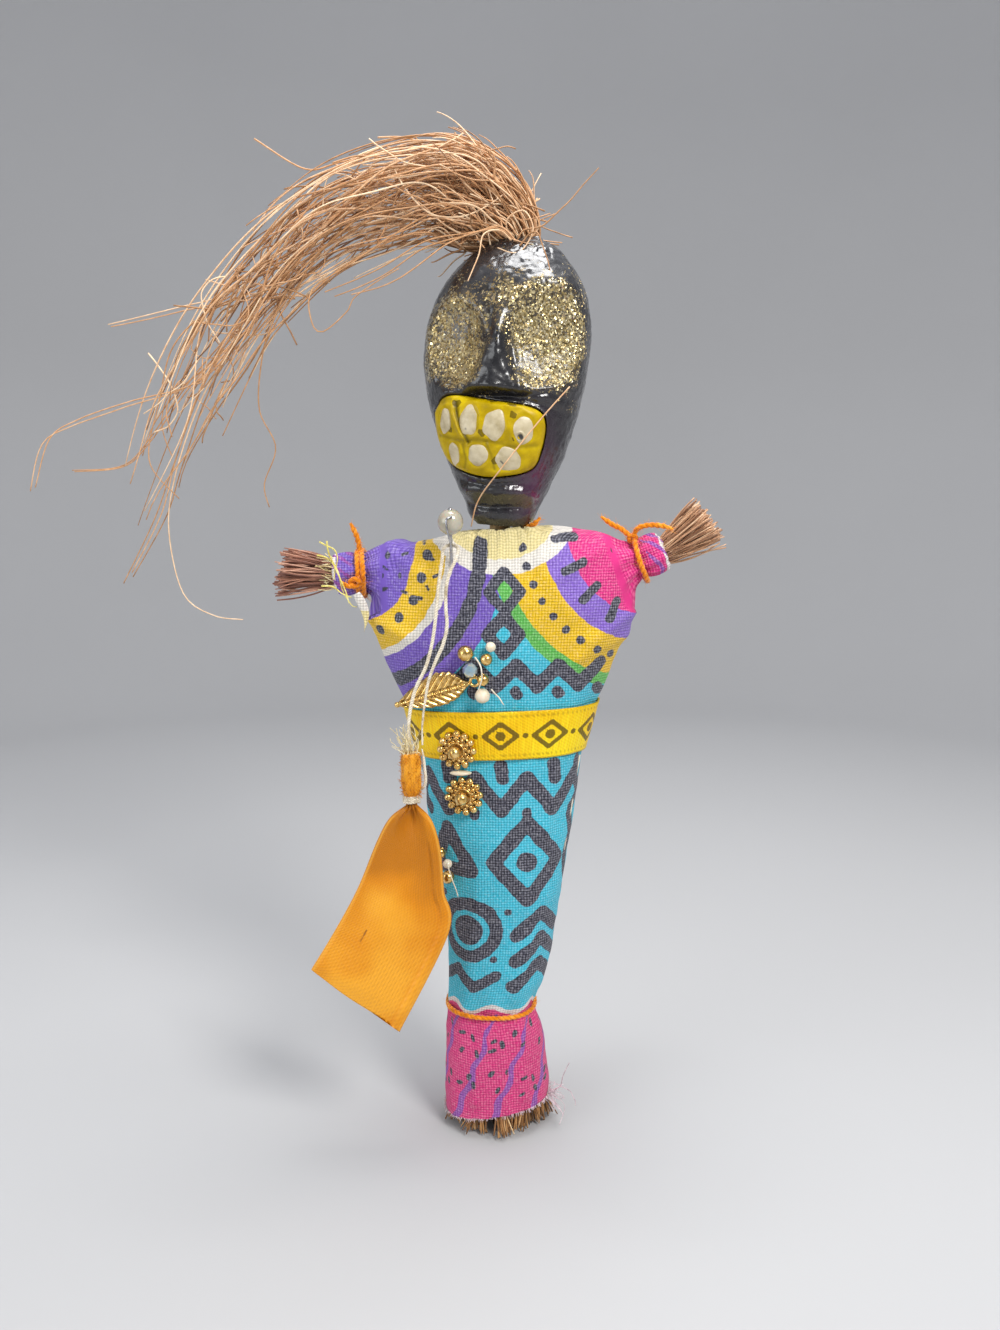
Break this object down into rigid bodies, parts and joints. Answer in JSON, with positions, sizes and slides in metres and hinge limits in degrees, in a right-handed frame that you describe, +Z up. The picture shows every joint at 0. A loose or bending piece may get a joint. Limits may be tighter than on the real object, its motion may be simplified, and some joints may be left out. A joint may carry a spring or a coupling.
{
  "type": "cloth doll",
  "caption": "Small stuffed cloth doll: black clay head with a bristle plume, bristle hands and foot, ribbon belt, metal trim, and a ribbon pouch hung on a pearl-headed pin.",
  "frame": {"origin": "centre of the foot's flat end, on the surface the doll stands on", "axes": "+Z up along the core stick to the head, -Y the way the face looks, +X to the right of someone who looks at the face"},
  "size_m": [0.1179, 0.0306, 0.1892],
  "materials": {
    "clay": "gloss",
    "mouth": "satin",
    "tooth": "satin",
    "bristle": "matte",
    "wood": "matte",
    "cloth": "matte",
    "wadding": "matte",
    "yarn": "matte",
    "belt": "satin",
    "gold": "polished",
    "cream": "satin",
    "glass": "polished",
    "steel": "polished",
    "pearl": "gloss",
    "thread": "matte",
    "pouch": "satin"
  },
  "bodies": {
    "doll": {"head": "clay", "mouth_slab": "mouth", "tooth_1": "tooth", "tooth_2": "tooth", "tooth_3": "tooth", "tooth_4": "tooth", "tooth_5": "tooth", "tooth_6": "tooth", "tooth_7": "tooth", "core_stick": "wood", "hair_plume": "bristle", "body_cloth": "cloth", "stuffing": "wadding", "foot_brush": "bristle", "arm_bundle_left": "bristle", "arm_bundle_right": "bristle", "arm_tie_left": "yarn", "arm_tie_right": "yarn", "ankle_tie": "yarn", "neck_tie": "yarn", "waist_ribbon": "belt", "leaf_charm": "gold", "gold_bead_large": "gold", "gold_bead_upper": "gold", "cream_bead_upper": "cream", "glass_bead": "glass", "gold_bead_lower": "gold", "cream_bead_middle": "cream", "gold_bead_side": "gold", "cream_bead_low": "cream", "gold_bead_low": "gold", "rosette_upper": "gold", "rosette_upper_stud": "gold", "rosette_lower": "gold", "rosette_lower_stud": "gold", "cream_disc_bead": "cream"},
    "pin": {"pin_shaft": "steel", "pin_pearl": "pearl"},
    "thread": {"thread_loop": "thread"},
    "pouch": {"pouch_tie": "thread", "pouch_ribbon": "pouch"}
  },
  "joints": [
    {"name": "pin_slide", "type": "slide", "parent": "doll", "child": "pin", "axis": [0, -0.3011, 0.9536], "range_m": [0, 0.02]},
    {"name": "thread_swing", "type": "hinge", "parent": "pin", "child": "thread", "pos_m": [-0.009, -0.01089, 0.12071], "axis": [0, 1, 0], "range_deg": [-30, 25]},
    {"name": "pouch_tilt", "type": "hinge", "parent": "thread", "child": "pouch", "pos_m": [-0.01555, -0.0169, 0.0844], "axis": [-1, 0, 0], "range_deg": [0, 60]}
  ]
}
